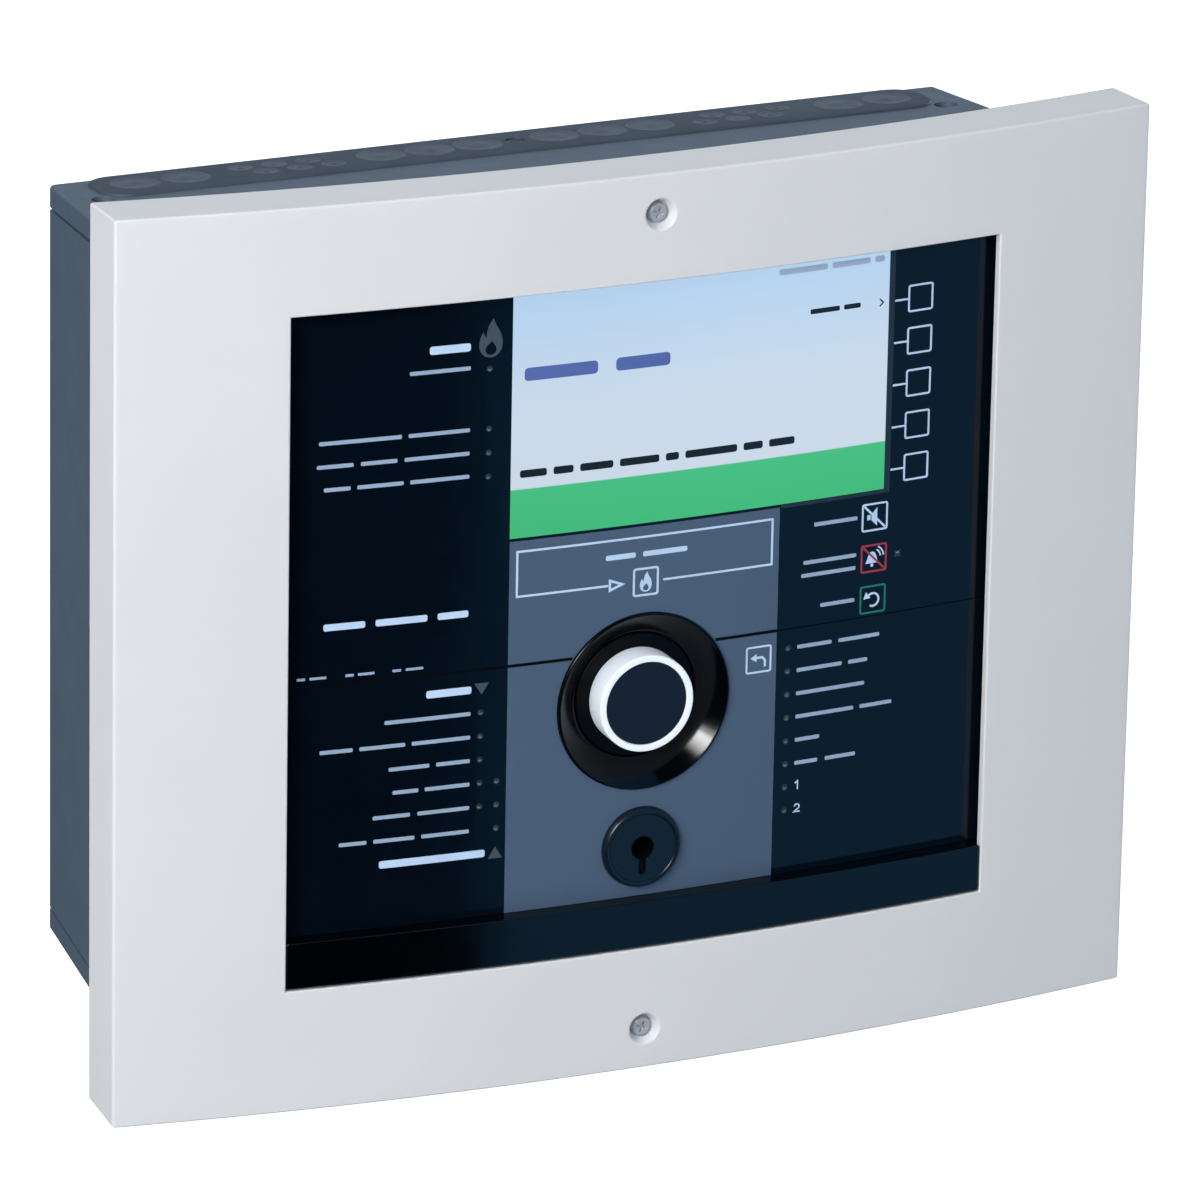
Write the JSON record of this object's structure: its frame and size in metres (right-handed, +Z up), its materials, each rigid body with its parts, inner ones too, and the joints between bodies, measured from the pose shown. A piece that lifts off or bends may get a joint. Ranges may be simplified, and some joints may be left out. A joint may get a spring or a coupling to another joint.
{
  "type": "fire alarm control panel",
  "caption": "Wall-mounted fire alarm control panel: flared back box, hinged interface front with display, jog wheel and key lock, and a bowed lift-off cover frame.",
  "frame": {"origin": "centre of the wall face of the back box, at the middle of its four wall screws", "axes": "+Z up, -Y out of the wall towards the user, +X to the user's right"},
  "size_m": [0.41, 0.1474, 0.347],
  "materials": {
    "box_plastic": "fine moulded texture, dark blue-grey",
    "entry_rubber": "matte rubber",
    "cover_shell": "satin, light warm grey",
    "smoked": "glossy smoked, nearly black",
    "film_grey": "satin printed film, grey-blue",
    "black_gloss": "high gloss black",
    "black_plastic": "matt black",
    "knob_white": "satin white",
    "cap_dark": "soft-touch dark",
    "screen": "lit screen",
    "lens": "frosted lens",
    "steel": "zinc plated",
    "brass": "plain",
    "board_green": "solder mask",
    "terminal_green": "moulded",
    "connector": "moulded",
    "psu_metal": "folded sheet",
    "battery_case": "moulded",
    "lead_red": "insulation",
    "magnet": "plain"
  },
  "bodies": {
    "back_box": {"rear_shell": "box_plastic", "top_cap": "box_plastic", "bottom_cap": "box_plastic", "cap_screws": "steel", "cable_entry_plate": "entry_rubber", "entry_plate_screw": "steel", "hinge_pins": "steel", "strike_plates": "steel", "gear_tray": "steel", "power_supply": "psu_metal", "main_board": "board_green", "board_standoffs": "brass", "terminal_blocks": "terminal_green", "loop_cards": "board_green", "battery_shelf": "steel", "battery_left": "battery_case", "battery_right": "battery_case", "battery_strap": "steel", "battery_link_lead": "lead_red", "earth_stud": "brass"},
    "front_door": {"ui_chassis": "black_plastic", "fascia_upper": "smoked", "fascia_lower": "smoked", "centre_film_upper": "film_grey", "centre_film_lower": "film_grey", "display_pane": "screen", "display_module": "black_plastic", "indicator_lenses": "lens", "key_switches": "black_plastic", "chin_bar": "smoked", "jog_dish": "black_gloss", "encoder": "steel", "lock_ring": "black_gloss", "lock_body": "steel", "lock_nut": "steel", "lock_switch": "black_plastic", "ui_board": "board_green", "ui_board_screws": "steel", "ui_connectors": "connector", "buzzer": "black_plastic", "catch_magnets": "magnet", "cover_nuts": "steel"},
    "jog_slider": {"jog_plunger": "connector"},
    "jog_wheel": {"jog_knob": "knob_white", "jog_cap": "cap_dark", "jog_flange": "black_gloss", "jog_shaft": "steel"},
    "lock_core": {"lock_barrel": "black_plastic", "lock_cam": "steel"},
    "cover": {"front_cover": "cover_shell", "cover_screws": "steel"}
  },
  "joints": [
    {"name": "door_swing", "type": "hinge", "parent": "back_box", "child": "front_door", "pos_m": [-0.1952, -0.107, 0], "axis": [0, 0, -1], "range_deg": [0, 90]},
    {"name": "cover_lift", "type": "slide", "parent": "front_door", "child": "cover", "axis": [0, -1, 0], "range_m": [0, 0.06]},
    {"name": "jog_press", "type": "slide", "parent": "front_door", "child": "jog_slider", "axis": [0, 1, 0], "range_m": [0, 0.0008], "stiffness_N_per_m": 3000, "springref_m": -0.0003},
    {"name": "jog_turn", "type": "hinge", "parent": "jog_slider", "child": "jog_wheel", "pos_m": [0, -0.1439, -0.031], "axis": [0, 1, 0], "continuous": true},
    {"name": "key_turn", "type": "hinge", "parent": "front_door", "child": "lock_core", "pos_m": [0, -0.14, -0.088], "axis": [0, 1, 0], "range_deg": [0, 90]}
  ]
}
